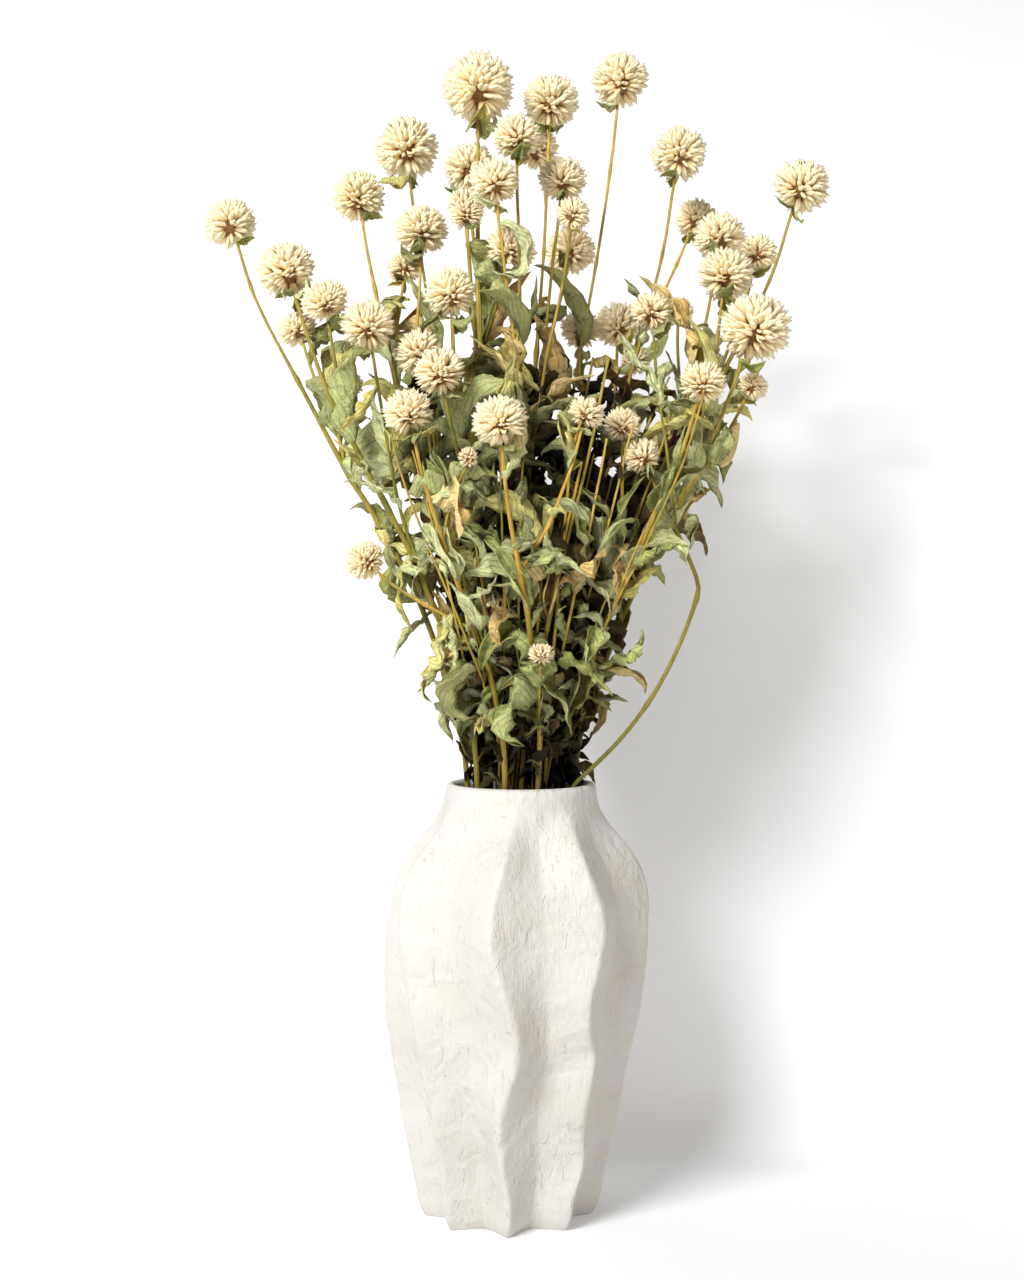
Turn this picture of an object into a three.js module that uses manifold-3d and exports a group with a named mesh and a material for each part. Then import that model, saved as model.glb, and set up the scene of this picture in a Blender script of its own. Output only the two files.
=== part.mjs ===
// A dried bunch of white globe amaranth standing in a hand-built ceramic vase with wavy upright ridges.
// Millimetres, +Z up, -Y to the front. The origin is on the table at the centre of the vase's foot.
import * as THREE from "three";
import { mergeVertices } from "three/addons/utils/BufferGeometryUtils.js";
import Module from "manifold-3d";

const wasm = await Module();
wasm.setup();

// ---------- driving dimensions ----------

const clearance = 0.3; // between two pieces that touch

const vase = {
  height: 208,
  footRadius: 44, // all radii are to the ridges' crests
  footRound: 3,
  bellyRadius: 65,
  bellyHeight: 132,
  neckRadius: 37,
  neckDrop: 9, // the narrowest part of the neck, below the rim
  wall: 6,
  floor: 8,
  lip: 4, // the rounding of the mouth's edge
  relief: 12, // how deep the hollows lie between the ridges
  fadeStart: 36, // the hollows grow shallow from here below the rim
  fadeEnd: 6, // and are gone here
  roundness: 1.7, // of a hollow's section: 1 is a sharp groove
  lean: 6, // how far the mouth sits to the right of the foot
  skew: 6, // how much higher the belly bulges on the right, and lower on the left
};

const stem = {
  trunkRadius: 1.8, // below the highest fork
  shootRadius: 1.2, // above it
  sides: 5,
  slotGap: 4.5, // from the mouth's wall to the outer stems' skins
  footGap: 2, // from the hollows of the wall to the outer stems' skins, at the vase's floor
  ringGap: 5, // between the outer and the inner ring of stems
  twist: 40, // degrees that a stem turns round the vase from its foot to the mouth
  ease: 0.36, // how far a stem keeps its heading, as a share of the way to its flower
  sag: 12, // of a bent stem, below the straight way from the mouth to its bend
  straight: 18, // of a bent stem, past the mouth
  steps: { inVase: 5, toBend: 5, toFlower: 12 }, // straight pieces along a trunk
  shootSteps: 7,
};

const flower = {
  tiltBack: 0.45, // heads nod a little away from the front
  tiltUp: 0.3,
  neckRadius: 2.1,
  neckHeight: 2.4,
  segments: 7,
};

const leaf = {
  length: 44,
  width: 15,
  thickness: 1,
  pairSpacing: 56, // between two pairs along a stem
  pairTurn: 1.6, // radians from one pair to the next
  bareFoot: 10, // of a shoot
  bareTop: 30, // of stem under a flower
  lowest: 34, // above the rim
  highest: 225,
  outreach: 14, // no tip stands further than this outside its own stem
  droop: 13,
  // Balls that hold the blade: how far along its length, and their radius as a share of its width.
  room: [[0.12, 0.2], [0.28, 0.36], [0.45, 0.5], [0.65, 0.36], [0.88, 0.2]],
  // Where a neighbour is in the way: a further turn round the stem, and a share of the size.
  tries: [[0, 1], [0.5, 1], [-0.5, 1], [0, 0.75], [0.8, 0.75], [-0.8, 0.75], [0, 0.55]],
};

// The wall's outline: radius at the crests and height, from the foot to the neck.
const wallOutline = [
  [vase.footRadius + 5.5, 30],
  [vase.bellyRadius - 6.3, 77],
  [vase.bellyRadius - 1.6, 104],
  [vase.bellyRadius, vase.bellyHeight],
  [vase.bellyRadius - 2.5, vase.height - 50],
  [vase.bellyRadius - 9.5, vase.height - 34],
  [vase.neckRadius + 4.8, vase.height - 18],
  [vase.neckRadius, vase.height - vase.neckDrop],
];

// Each ridge runs up the vase through these heights, at these degrees round it from the front.
const ridges = [
  [[0, -80], [60, -88], [113, -93], [160, -101], [200, -98]],
  [[0, -42], [50, -41], [82, -47.5], [98, -47], [140, -58.5], [168, -65], [200, -60]],
  [[0, 0], [20, 0], [50, -8], [92, 2], [147, -11.5], [200, -2]],
  [[0, 43], [18, 41], [38, 45.5], [62, 39], [80, 42], [104, 33], [145, 40.5], [172, 34], [200, 38]],
  [[0, 84], [50, 90], [95, 80], [150, 88], [200, 84]],
  [[0, 128], [40, 122], [85, 132], [130, 121], [170, 131], [200, 127]],
  [[0, 176], [45, 182], [90, 170], [150, 183], [200, 175]],
  [[0, 224], [35, 219], [80, 230], [135, 214], [175, 222], [200, 219]],
];
// Where the wall's columns of faces stand between one ridge and the next: closer near the crests.
const columns = [0, 0.07, 0.18, 0.33, 0.5, 0.67, 0.82, 0.93];

// Every cut stem: its place in the mouth (ring, and degrees from the front), and its flowers. A flower
// has its centre (across, back, up), its width and height, and the share of the stem's length where
// its shoot leaves. The first flower is on the stem's own end.
const stems = [
  { ring: "outer", turn: -90, flowers: [
    { at: [-132, 0, 475], wide: 24, tall: 18 },
    { at: [-101, -15, 422], wide: 19, tall: 13, fork: 0.6 } ] },
  { ring: "outer", turn: -54, flowers: [
    { at: [-102, -25, 449], wide: 26, tall: 24 },
    { at: [-83, -40, 432], wide: 22, tall: 17, fork: 0.76 },
    { at: [-64, -45, 421], wide: 24, tall: 23, fork: 0.58 } ] },
  { ring: "outer", turn: -18, flowers: [
    { at: [-43, -70, 380], wide: 22, tall: 19 },
    { at: [-64, -35, 314], wide: 19, tall: 17, fork: 0.56 } ] },
  { ring: "outer", turn: 18, flowers: [
    { at: [-3, -88, 374], wide: 24, tall: 20 },
    { at: [34, -70, 379], wide: 16, tall: 13, fork: 0.66 },
    { at: [14, -60, 273], wide: 11, tall: 9, fork: 0.55 } ] },
  { ring: "outer", turn: 54, via: [94, -40, 297], flowers: [
    { at: [75, -56, 358], wide: 17, tall: 12 },
    { at: [67, -15, 431], wide: 20, tall: 17, fork: 0.76 } ] },
  { ring: "outer", turn: 90, flowers: [
    { at: [112, -35, 421], wide: 31, tall: 30 },
    { at: [103, -10, 449], wide: 26, tall: 23, fork: 0.68 },
    { at: [103, 20, 472], wide: 25, tall: 21, fork: 0.58 } ] },
  { ring: "outer", turn: 126, flowers: [
    { at: [141, 15, 496], wide: 26, tall: 23 },
    { at: [125, 50, 469], wide: 20, tall: 20, fork: 0.7 },
    { at: [85, 40, 439], wide: 15, tall: 13, fork: 0.62 } ] },
  { ring: "outer", turn: 162, flowers: [
    { at: [57, 70, 561], wide: 28, tall: 28 },
    { at: [96, 80, 492], wide: 21, tall: 20, fork: 0.55 } ] },
  { ring: "outer", turn: -162, flowers: [
    { at: [-52, 70, 526], wide: 32, tall: 31 },
    { at: [-8, 0, 459], wide: 24, tall: 18, fork: 0.62 } ] },
  { ring: "outer", turn: -126, flowers: [
    { at: [-75, 50, 498], wide: 26, tall: 26 },
    { at: [-43, 25, 476], wide: 26, tall: 21, fork: 0.64 },
    { at: [-50, 50, 463], wide: 17, tall: 15, fork: 0.74 } ] },
  { ring: "inner", turn: -60, flowers: [
    { at: [-26, -45, 436], wide: 23, tall: 23 },
    { at: [-30, -70, 397], wide: 22, tall: 21, fork: 0.7 },
    { at: [-39, -40, 409], wide: 21, tall: 20, fork: 0.8 } ] },
  { ring: "inner", turn: 0, flowers: [
    { at: [2, -15, 514], wide: 23, tall: 20 },
    { at: [-2, -30, 485], wide: 23, tall: 20, fork: 0.72 },
    { at: [30, -20, 476], wide: 16, tall: 15, fork: 0.6 } ] },
  { ring: "inner", turn: 60, flowers: [
    { at: [87, -55, 394], wide: 20, tall: 20 },
    { at: [114, -20, 396], wide: 13, tall: 11, fork: 0.7 },
    { at: [54, -50, 374], wide: 17, tall: 14, fork: 0.62 } ] },
  { ring: "inner", turn: 120, flowers: [
    { at: [85, 45, 518], wide: 27, tall: 26 },
    { at: [61, 50, 430], wide: 24, tall: 20, fork: 0.62 },
    { at: [39, 40, 432], wide: 20, tall: 18, fork: 0.52 } ] },
  { ring: "inner", turn: 180, flowers: [
    { at: [21, 50, 545], wide: 28, tall: 25 },
    { at: [31, 55, 471], wide: 26, tall: 21, fork: 0.66 },
    { at: [26, 10, 498], wide: 23, tall: 19, fork: 0.56 } ] },
  { ring: "inner", turn: -120, flowers: [
    { at: [-15, 30, 547], wide: 34, tall: 34 },
    { at: [-19, 35, 508], wide: 26, tall: 22, fork: 0.74 },
    { at: [-20, -10, 482], wide: 18, tall: 16, fork: 0.62 } ] },
];

// ---------- small helpers ----------

const radians = THREE.MathUtils.degToRad;

// A point at a radius and a turn from the front, about the vase's leaning axis.
function around(radius, turn, height) {
  const axis = (vase.lean * height) / vase.height;
  return new THREE.Vector3(axis + radius * Math.sin(turn), -radius * Math.cos(turn), height);
}

function solidOf(geometry) {
  const bare = geometry.clone();
  bare.deleteAttribute("normal");
  bare.deleteAttribute("uv");
  const merged = mergeVertices(bare, 1e-3);
  return new wasm.Manifold(
    new wasm.Mesh({
      numProp: 3,
      vertProperties: new Float32Array(merged.attributes.position.array),
      triVerts: new Uint32Array(merged.index.array),
    }),
  );
}

function geometryOf(solid) {
  const mesh = solid.getMesh();
  return new THREE.BufferGeometry()
    .setAttribute("position", new THREE.BufferAttribute(mesh.vertProperties, 3))
    .setIndex(new THREE.BufferAttribute(mesh.triVerts, 1));
}

function makeMesh(name, geometry, material) {
  const mesh = new THREE.Mesh(geometry, material);
  mesh.name = name;
  return mesh;
}

// ---------- the vase ----------

function ridgeTurn(index, height) {
  const ridge = ridges[index % ridges.length];
  const fullTurns = Math.floor(index / ridges.length);
  const curve = new THREE.SplineCurve(ridge.map(([z, turn]) => new THREE.Vector2(z, turn)));
  let low = 0;
  let high = 1;
  for (let i = 0; i < 24; i++) {
    const middle = (low + high) / 2;
    if (curve.getPoint(middle).x < height) low = middle;
    else high = middle;
  }
  return radians(curve.getPoint(low).y + 360 * fullTurns);
}

// The hollows between the ridges fade out in the shoulder and leave the mouth round.
function reliefAt(height) {
  const { smoothstep } = THREE.MathUtils;
  return vase.relief * (1 - smoothstep(height, vase.height - vase.fadeStart, vase.height - vase.fadeEnd));
}

function vaseProfile() {
  const { height, footRadius, footRound, neckRadius, wall, floor, lip } = vase;
  const outer = new THREE.SplineCurve([
    new THREE.Vector2(footRadius, footRound),
    ...wallOutline.map(([r, z]) => new THREE.Vector2(r, z)),
  ]).getPoints(15);
  const edge = lip * 0.3; // where the lip's top turns over
  const inner = outer.map((p) => new THREE.Vector2(p.x - wall, p.y)).filter((p) => p.y > floor + wall);
  return [
    new THREE.Vector2(0, 0),
    new THREE.Vector2(footRadius - footRound, 0),
    ...outer,
    new THREE.Vector2(neckRadius - 0.4, height - lip),
    new THREE.Vector2(neckRadius - 1.1, height - edge),
    new THREE.Vector2(neckRadius - wall / 2, height),
    new THREE.Vector2(neckRadius - wall + 0.7, height - edge),
    new THREE.Vector2(neckRadius - wall, height - lip),
    ...inner.reverse(),
    new THREE.Vector2(footRadius - wall - 1.5, floor),
    new THREE.Vector2(0, floor),
  ].filter((p, i, all) => i === 0 || p.distanceTo(all[i - 1]) > 0.5);
}

function makeVase() {
  const segments = ridges.length * columns.length;
  const geometry = new THREE.LatheGeometry(vaseProfile(), segments);
  const place = geometry.attributes.position;
  for (let i = 0; i < place.count; i++) {
    const level = place.getY(i);
    const crest = Math.hypot(place.getX(i), place.getZ(i));
    const column = Math.round((Math.atan2(place.getX(i), place.getZ(i)) / (2 * Math.PI)) * segments);
    const k = (column + segments) % segments;
    const ridge = Math.floor(k / columns.length);
    const share = columns[k % columns.length];
    const turn = THREE.MathUtils.lerp(ridgeTurn(ridge, level), ridgeTurn(ridge + 1, level), share);
    const raised = vase.skew * Math.sin(turn) * Math.sin((Math.PI * level) / vase.height) ** 2;
    const height = crest ? level + raised : level;
    const hollow = 1 - Math.abs(2 * share - 1) ** vase.roundness;
    const radius = crest ? crest - reliefAt(height) * hollow : 0;
    const p = around(radius, turn, height);
    place.setXYZ(i, p.x, p.y, p.z);
  }
  return geometry;
}

// ---------- the stems' routes ----------

const mouthHeight = vase.height - vase.neckDrop;
const mouthRing = { outer: vase.neckRadius - vase.wall - stem.slotGap - stem.trunkRadius };
const footRing = {
  outer: vase.footRadius - vase.wall - vase.relief - stem.footGap - stem.trunkRadius,
};
mouthRing.inner = mouthRing.outer - 2 * stem.trunkRadius - stem.ringGap;
footRing.inner = footRing.outer - 2 * stem.trunkRadius - stem.ringGap * 0.7;

// The way that a flower faces: out along its stem, upwards and a little back.
function facing(from, centre) {
  const out = centre.clone().sub(from).normalize();
  return out.add(new THREE.Vector3(0, flower.tiltBack, flower.tiltUp)).normalize();
}

// A run of stem from a start and heading to below a flower, where it points along the flower's axis.
function risingCurve(start, heading, centre, tall) {
  const axis = facing(start, centre);
  const end = centre.clone().addScaledVector(axis, -tall / 2 - clearance);
  const reach = start.distanceTo(end) * stem.ease;
  const first = start.clone().addScaledVector(heading, reach);
  const second = end.clone().addScaledVector(axis, -reach);
  return new THREE.CubicBezierCurve3(start, first, second, end);
}

function trunkRun(entry) {
  const turn = radians(entry.turn);
  const mouth = around(mouthRing[entry.ring], turn, mouthHeight);
  const footHeight = vase.floor + clearance + stem.trunkRadius * 0.25; // the cut end is a little aslant
  const foot = around(footRing[entry.ring], turn - radians(stem.twist), footHeight);
  const heading = mouth.clone().sub(foot).normalize();
  const [first] = entry.flowers;
  const centre = new THREE.Vector3(...first.at);
  const { inVase, toBend, toFlower } = stem.steps;
  const points = new THREE.LineCurve3(foot, mouth).getSpacedPoints(inVase);
  if (!entry.via) {
    const rise = risingCurve(mouth, heading, centre, first.tall);
    return [...points, ...rise.getSpacedPoints(toFlower).slice(1)];
  }
  const bend = new THREE.Vector3(...entry.via);
  const leaving = mouth.clone().addScaledVector(heading, stem.straight);
  const sag = bend.clone().lerp(mouth, 0.35).add(new THREE.Vector3(0, 0, -stem.sag));
  const low = new THREE.CubicBezierCurve3(mouth, leaving, sag, bend);
  const high = risingCurve(bend, new THREE.Vector3(-0.2, 0, 1).normalize(), centre, first.tall);
  return [
    ...points,
    ...low.getSpacedPoints(toBend).slice(1),
    ...high.getSpacedPoints(toFlower - toBend).slice(1),
  ];
}

// Every run of stem as points, with the flower on its end. A shoot starts on its trunk.
function planRuns() {
  return stems.flatMap((entry, index) => {
    const trunk = trunkRun(entry);
    return entry.flowers.map((bloom, order) => {
      const fork = order ? Math.round(bloom.fork * (trunk.length - 1)) : 0;
      let points = trunk;
      if (order) {
        const heading = trunk[fork].clone().sub(trunk[fork - 1]).normalize();
        const curve = risingCurve(trunk[fork], heading, new THREE.Vector3(...bloom.at), bloom.tall);
        points = curve.getSpacedPoints(stem.shootSteps);
      }
      const held = order ? 0 : points.findIndex((p) => p.z > vase.height);
      return {
        stem: index, order, fork, held, bloom,
        rest: points,
        points: points.map((p) => p.clone()),
        centre: new THREE.Vector3(...bloom.at),
      };
    });
  });
}

// ---------- making room ----------

// Everything that takes room, as a straight piece with a radius. A flower is a piece with no length.
function takenRoom(runs) {
  return runs.flatMap((run) => {
    const last = run.points.length - 2;
    const pieces = run.points.slice(1).map((end, i) => ({
      run, i, last, line: new THREE.Line3(run.points[i], end),
      radius: run.order ? stem.shootRadius : stem.trunkRadius,
    }));
    const radius = Math.max(run.bloom.wide, run.bloom.tall) / 2;
    const line = new THREE.Line3(run.centre, run.centre);
    return [...pieces, { run, i: last + 1, last, bloom: true, line, radius }];
  });
}

function nearest(a, b, onA, onB) {
  b.getCenter(onB);
  for (let i = 0; i < 5; i++) {
    a.closestPointToPoint(onB, true, onA);
    b.closestPointToPoint(onA, true, onB);
  }
  return onA.distanceTo(onB);
}

function mayTouch(a, b) {
  if (a.run === b.run) return Math.max(a.i, b.i) <= a.last || Math.min(a.i, b.i) >= a.last - 1;
  return a.run.stem === b.run.stem && !a.bloom && !b.bloom;
}

// Stems and flowers lean away from each other until none touch, as they do when a bunch is arranged.
function settle(runs) {
  const margin = 2.5 * clearance;
  const onA = new THREE.Vector3();
  const onB = new THREE.Vector3();
  for (let round = 0; round < 90; round++) {
    const room = takenRoom(runs);
    const middles = room.map((p) => p.line.getCenter(new THREE.Vector3()));
    const reaches = room.map((p) => p.line.distance() / 2 + p.radius + margin);
    const pushes = new Map(runs.map((run) => [run, run.points.map(() => new THREE.Vector3())]));
    let touching = 0;
    for (let a = 0; a < room.length; a++) {
      for (let b = a + 1; b < room.length; b++) {
        if (middles[a].distanceTo(middles[b]) > reaches[a] + reaches[b]) continue;
        if (mayTouch(room[a], room[b])) continue;
        const wanted = room[a].radius + room[b].radius + margin;
        const short = wanted - nearest(room[a].line, room[b].line, onA, onB);
        if (short <= 0) continue;
        touching += 1;
        const away = onA.clone().sub(onB);
        if (away.lengthSq() < 1e-6) away.set(0, 1, 0);
        away.normalize().multiplyScalar(short * 0.5);
        for (const [piece, sign] of [[room[a], 1], [room[b], -1]]) {
          const own = pushes.get(piece.run);
          for (const k of piece.bloom ? [piece.last + 1] : [piece.i, piece.i + 1]) {
            own[k].addScaledVector(away, sign);
          }
        }
      }
    }
    if (!touching) return;
    for (const run of runs) bend(run, pushes.get(run), runs);
  }
}

// Moves a run by its pushes, spread smoothly along it. What stands in the vase stays where it is.
function bend(run, push, runs) {
  const shift = run.points.map((p, i) => p.clone().sub(run.rest[i]).add(push[i]));
  const trunk = runs.find((other) => other.stem === run.stem && other.order === 0);
  const base = new THREE.Vector3(); // how far the stem has moved where this shoot leaves it
  if (run.order) base.subVectors(trunk.points[run.fork], trunk.rest[run.fork]);
  for (let pass = 0; pass < 3; pass++) {
    for (let i = 1; i < shift.length - 1; i++) {
      const beside = shift[i - 1].clone().add(shift[i + 1]);
      shift[i].multiplyScalar(0.5).addScaledVector(beside, 0.25);
    }
    for (let i = 0; i <= run.held; i++) shift[i].copy(base);
  }
  run.points.forEach((p, i) => p.copy(run.rest[i]).add(shift[i]));
  run.centre.set(...run.bloom.at).add(shift.at(-1));
}

// ---------- solids of stems, leaves and flowers ----------

function tube(points, radius) {
  const section = new THREE.Shape();
  for (let i = 0; i < stem.sides; i++) {
    const turn = (2 * Math.PI * i) / stem.sides;
    section[i ? "lineTo" : "moveTo"](radius * Math.cos(turn), radius * Math.sin(turn));
  }
  const path = new THREE.CatmullRomCurve3(points);
  path.getPointAt = path.getPoint; // its rings stand at the points themselves
  path.getTangentAt = path.getTangent;
  return new THREE.ExtrudeGeometry(section, { steps: points.length - 1, extrudePath: path });
}

// A flat lance-shaped blade along +X from its base, which bends down towards its tip.
function bladeGeometry(length, width) {
  const outline = new THREE.Shape();
  outline.moveTo(0, -0.8);
  outline.quadraticCurveTo(length * 0.4, -width * 0.95, length, 0);
  outline.quadraticCurveTo(length * 0.4, width * 0.95, 0, 0.8);
  const blade = new THREE.ExtrudeGeometry(outline, {
    depth: leaf.thickness, bevelEnabled: false, curveSegments: 2,
  });
  const place = blade.attributes.position;
  for (let i = 0; i < place.count; i++) {
    const along = place.getX(i) / length;
    place.setZ(i, place.getZ(i) - leaf.thickness / 2 - leaf.droop * along ** 2);
  }
  return blade;
}

// Adds opposite pairs of leaves to one run, each pair square to the last, and leaves out or shortens
// a blade that would meet a neighbour.
function growLeaves(run, room, taken) {
  const blades = [];
  const path = new THREE.CatmullRomCurve3(run.points);
  const length = path.getLength();
  const { via } = stems[run.stem];
  const pastBend = via && via[2] + leaf.bareTop; // a bent stem is bare past its bend
  const lowest = pastBend ?? vase.height + leaf.lowest;
  for (let along = run.order ? leaf.bareFoot : 0, pair = 0; along < length - leaf.bareTop; along += 4) {
    const base = path.getPointAt(along / length);
    if (base.z < lowest || base.z > vase.height + leaf.highest) continue;
    const size = 0.75 + 0.5 * ((run.stem * 0.618 + pair * 0.382 + run.order * 0.27) % 1);
    for (const side of [0, Math.PI]) {
      const turn = side + pair * leaf.pairTurn + run.stem;
      const blade = fitBlade(run, path.getTangentAt(along / length), base, turn, size, room, taken);
      if (blade) blades.push(blade);
    }
    pair += 1;
    along += leaf.pairSpacing;
  }
  return blades;
}

const outwards = (point) => Math.hypot(point.x - vase.lean, point.y);

function isFree({ stem: owner, radius, point }, room, taken) {
  if (point.z < vase.height + radius + clearance) return false;
  const meets = (ball) => ball.stem !== owner && ball.point.distanceTo(point) < ball.radius + radius;
  if (taken.some(meets)) return false;
  const onLine = new THREE.Vector3();
  return room.every((piece) => {
    if (piece.run.stem === owner && !piece.bloom) return true;
    piece.line.closestPointToPoint(point, true, onLine);
    return onLine.distanceTo(point) > piece.radius + radius + clearance;
  });
}

function fitBlade(run, tangent, base, turn, size, room, taken) {
  const sideways = new THREE.Vector3(1, 0, 0).cross(tangent).normalize();
  for (const [extraTurn, share] of leaf.tries) {
    const out = sideways.clone().applyAxisAngle(tangent, turn + extraTurn);
    const along = out.addScaledVector(tangent, 0.9).normalize();
    const across = along.clone().cross(tangent).normalize();
    const up = across.clone().cross(along).negate();
    const length = leaf.length * size * share;
    const width = leaf.width * size * share;
    const matrix = new THREE.Matrix4().makeBasis(along, up.clone().cross(along), up).setPosition(base);
    const spine = leaf.room.map(([s, half]) => ({
      stem: run.stem,
      radius: half * width,
      point: new THREE.Vector3(length * s, 0, -leaf.droop * s ** 2).applyMatrix4(matrix),
    }));
    if (outwards(spine.at(-1).point) > outwards(base) + leaf.outreach) continue;
    if (!spine.every((ball) => isFree(ball, room, taken))) continue;
    taken.push(...spine);
    return solidOf(bladeGeometry(length, width).applyMatrix4(matrix));
  }
  return null;
}

function makeStem(index, runs, room, taken) {
  const own = runs.filter((run) => run.stem === index);
  const [trunk, ...shoots] = own;
  const highestFork = Math.max(trunk.held + 2, ...shoots.map((run) => run.fork));
  const thick = trunk.points.slice(0, highestFork + 1);
  const thin = trunk.points.slice(highestFork - 1);
  let solid = solidOf(tube(thick, stem.trunkRadius));
  solid = solid.add(solidOf(tube(thin, stem.shootRadius)));
  for (const shoot of shoots) {
    const start = trunk.points[shoot.fork - 1].clone().lerp(shoot.points[0], 0.75);
    solid = solid.add(solidOf(tube([start, ...shoot.points.slice(1)], stem.shootRadius)));
  }
  for (const run of own) {
    for (const blade of growLeaves(run, room, taken)) solid = solid.add(blade);
  }
  return geometryOf(solid.simplify(0.05));
}

// A flower head on the end of its run: a short green neck and a globe, round the run's last heading.
function makeFlower(run) {
  const { wide, tall } = run.bloom;
  const { neckRadius, neckHeight } = flower;
  const middle = (tall + neckHeight) / 2;
  const rise = (tall - neckHeight) / 2;
  const globe = [-50, -12, 26, 60].map((degrees) => {
    const a = radians(degrees);
    return new THREE.Vector2((wide / 2) * Math.cos(a), middle + rise * Math.sin(a));
  });
  const profile = [
    new THREE.Vector2(0, 0),
    new THREE.Vector2(neckRadius, 0),
    new THREE.Vector2(neckRadius, neckHeight),
    ...globe,
    new THREE.Vector2(0, tall),
  ];
  const end = run.points.at(-1);
  const heading = end.clone().sub(run.points.at(-2)).normalize();
  const toHeading = new THREE.Quaternion().setFromUnitVectors(new THREE.Vector3(0, 1, 0), heading);
  const base = end.clone().addScaledVector(heading, clearance);
  return new THREE.LatheGeometry(profile, flower.segments).applyQuaternion(toHeading)
    .translate(base.x, base.y, base.z);
}

// ---------- the whole ----------

const ceramic = new THREE.MeshStandardMaterial({ color: 0xf1efeb, roughness: 0.75, metalness: 0 });
const driedStem = new THREE.MeshStandardMaterial({ color: 0x8d8044, roughness: 0.8, metalness: 0 });
const paperyBloom = new THREE.MeshStandardMaterial({ color: 0xeadcb6, roughness: 0.85, metalness: 0 });

const number = (n) => String(n).padStart(2, "0");
const object = new THREE.Group();
object.add(makeMesh("vase", makeVase(), ceramic));

const runs = planRuns();
settle(runs);
const room = takenRoom(runs);
const taken = [];
stems.forEach((entry, index) => {
  object.add(makeMesh(`stem_${number(index + 1)}`, makeStem(index, runs, room, taken), driedStem));
});
runs.forEach((run, index) => {
  object.add(makeMesh(`flower_${number(index + 1)}`, makeFlower(run), paperyBloom));
});

export default object;
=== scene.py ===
import math

import bpy
import numpy as np
from mathutils import Matrix, Vector, noise
from mathutils.bvhtree import BVHTree


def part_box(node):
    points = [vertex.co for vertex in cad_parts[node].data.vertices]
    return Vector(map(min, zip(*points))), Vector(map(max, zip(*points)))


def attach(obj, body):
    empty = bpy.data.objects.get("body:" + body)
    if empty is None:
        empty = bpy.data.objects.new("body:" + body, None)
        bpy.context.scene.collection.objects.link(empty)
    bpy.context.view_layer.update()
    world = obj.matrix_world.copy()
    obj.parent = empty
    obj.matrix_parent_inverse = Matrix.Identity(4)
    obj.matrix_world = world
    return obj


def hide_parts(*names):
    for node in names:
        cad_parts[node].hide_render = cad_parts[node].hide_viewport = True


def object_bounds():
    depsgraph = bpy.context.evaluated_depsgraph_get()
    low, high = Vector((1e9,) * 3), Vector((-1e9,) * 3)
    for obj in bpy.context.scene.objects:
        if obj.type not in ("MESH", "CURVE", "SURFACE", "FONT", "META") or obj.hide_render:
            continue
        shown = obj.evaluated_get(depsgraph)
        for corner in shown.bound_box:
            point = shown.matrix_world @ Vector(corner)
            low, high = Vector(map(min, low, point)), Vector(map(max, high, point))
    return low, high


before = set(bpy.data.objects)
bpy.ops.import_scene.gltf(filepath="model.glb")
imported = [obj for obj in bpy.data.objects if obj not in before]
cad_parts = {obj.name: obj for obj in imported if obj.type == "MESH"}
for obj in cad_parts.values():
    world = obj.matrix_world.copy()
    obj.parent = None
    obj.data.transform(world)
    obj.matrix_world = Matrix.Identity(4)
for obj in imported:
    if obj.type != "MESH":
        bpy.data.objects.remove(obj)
cadLow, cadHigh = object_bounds()
stemNodes = sorted(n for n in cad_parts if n.startswith("stem"))
flowerNodes = sorted(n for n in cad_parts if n.startswith("flower"))
mm = 0.001
up = np.array([0.0, 0.0, 1.0])
mouthTop = float(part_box("vase")[1].z)
print("frame loaded:", len(stemNodes), "stems and", len(flowerNodes), "flowers")


# small tools


def unit(v):
    return v / max(np.linalg.norm(v), 1e-12)


def addToScene(thing):
    bpy.context.scene.collection.objects.link(thing)


def cornersOf(node):  # a CAD node's points, merged, and its triangles
    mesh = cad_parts[node].data
    loose = np.array([v.co for v in mesh.vertices])
    faces = np.array([list(p.vertices) for p in mesh.polygons])
    points, place = np.unique(np.round(loose, 6), axis=0, return_inverse=True)
    return points, place.reshape(-1)[faces]


def gridFaces(rows, columns, closed=False, start=0, flip=False):  # quads over rows x columns of points
    r, c = np.meshgrid(np.arange(rows - 1), np.arange(columns if closed else columns - 1), indexing="ij")
    r, c = r.ravel(), c.ravel()
    d = (c + 1) % columns
    quads = np.stack([r * columns + c, r * columns + d, (r + 1) * columns + d, (r + 1) * columns + c], 1)
    return (quads[:, ::-1] if flip else quads) + start


class Piece:  # gathers points and faces for one mesh
    def __init__(self):
        self.points, self.faces, self.grow, self.count = [], [], [], 0

    def add(self, points, faces, grow):
        self.points.append(points)
        self.faces += [tuple(int(i) + self.count for i in f) for f in faces]
        self.grow.append(grow)
        self.count += len(points)

    def make(self, name, material):
        mesh = bpy.data.meshes.new(name)
        mesh.from_pydata(np.concatenate(self.points).tolist(), [], self.faces)
        grow = mesh.attributes.new("grow", "FLOAT_COLOR", "POINT")
        grow.data.foreach_set("color", np.concatenate(self.grow).astype(np.float32).ravel())
        mesh.materials.append(material)
        mesh.shade_smooth()
        piece = bpy.data.objects.new(name, mesh)
        addToScene(piece)
        return piece


def growOf(along, across, tone):  # what the materials read: along, across, tone and, on a leaf, side
    along = np.asarray(along, float).ravel()
    whole = np.ones_like(along)
    return np.stack([along, np.asarray(across, float).ravel() * whole, tone * whole, whole], 1)


# materials

# the bunch's outline: the extra leaves keep within it, and the stem and leaf materials paint shade towards its
# middle
bunch = {
    "middle": 0.012,  # across
    "narrow": 0.045,  # half its width at the mouth
    "widen": 0.26,  # how it grows with the height above the mouth
    "widest": 0.105,
    "shadedUpTo": 0.15,  # height above the mouth up to which the bunch's middle gets painted shade
}


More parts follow.
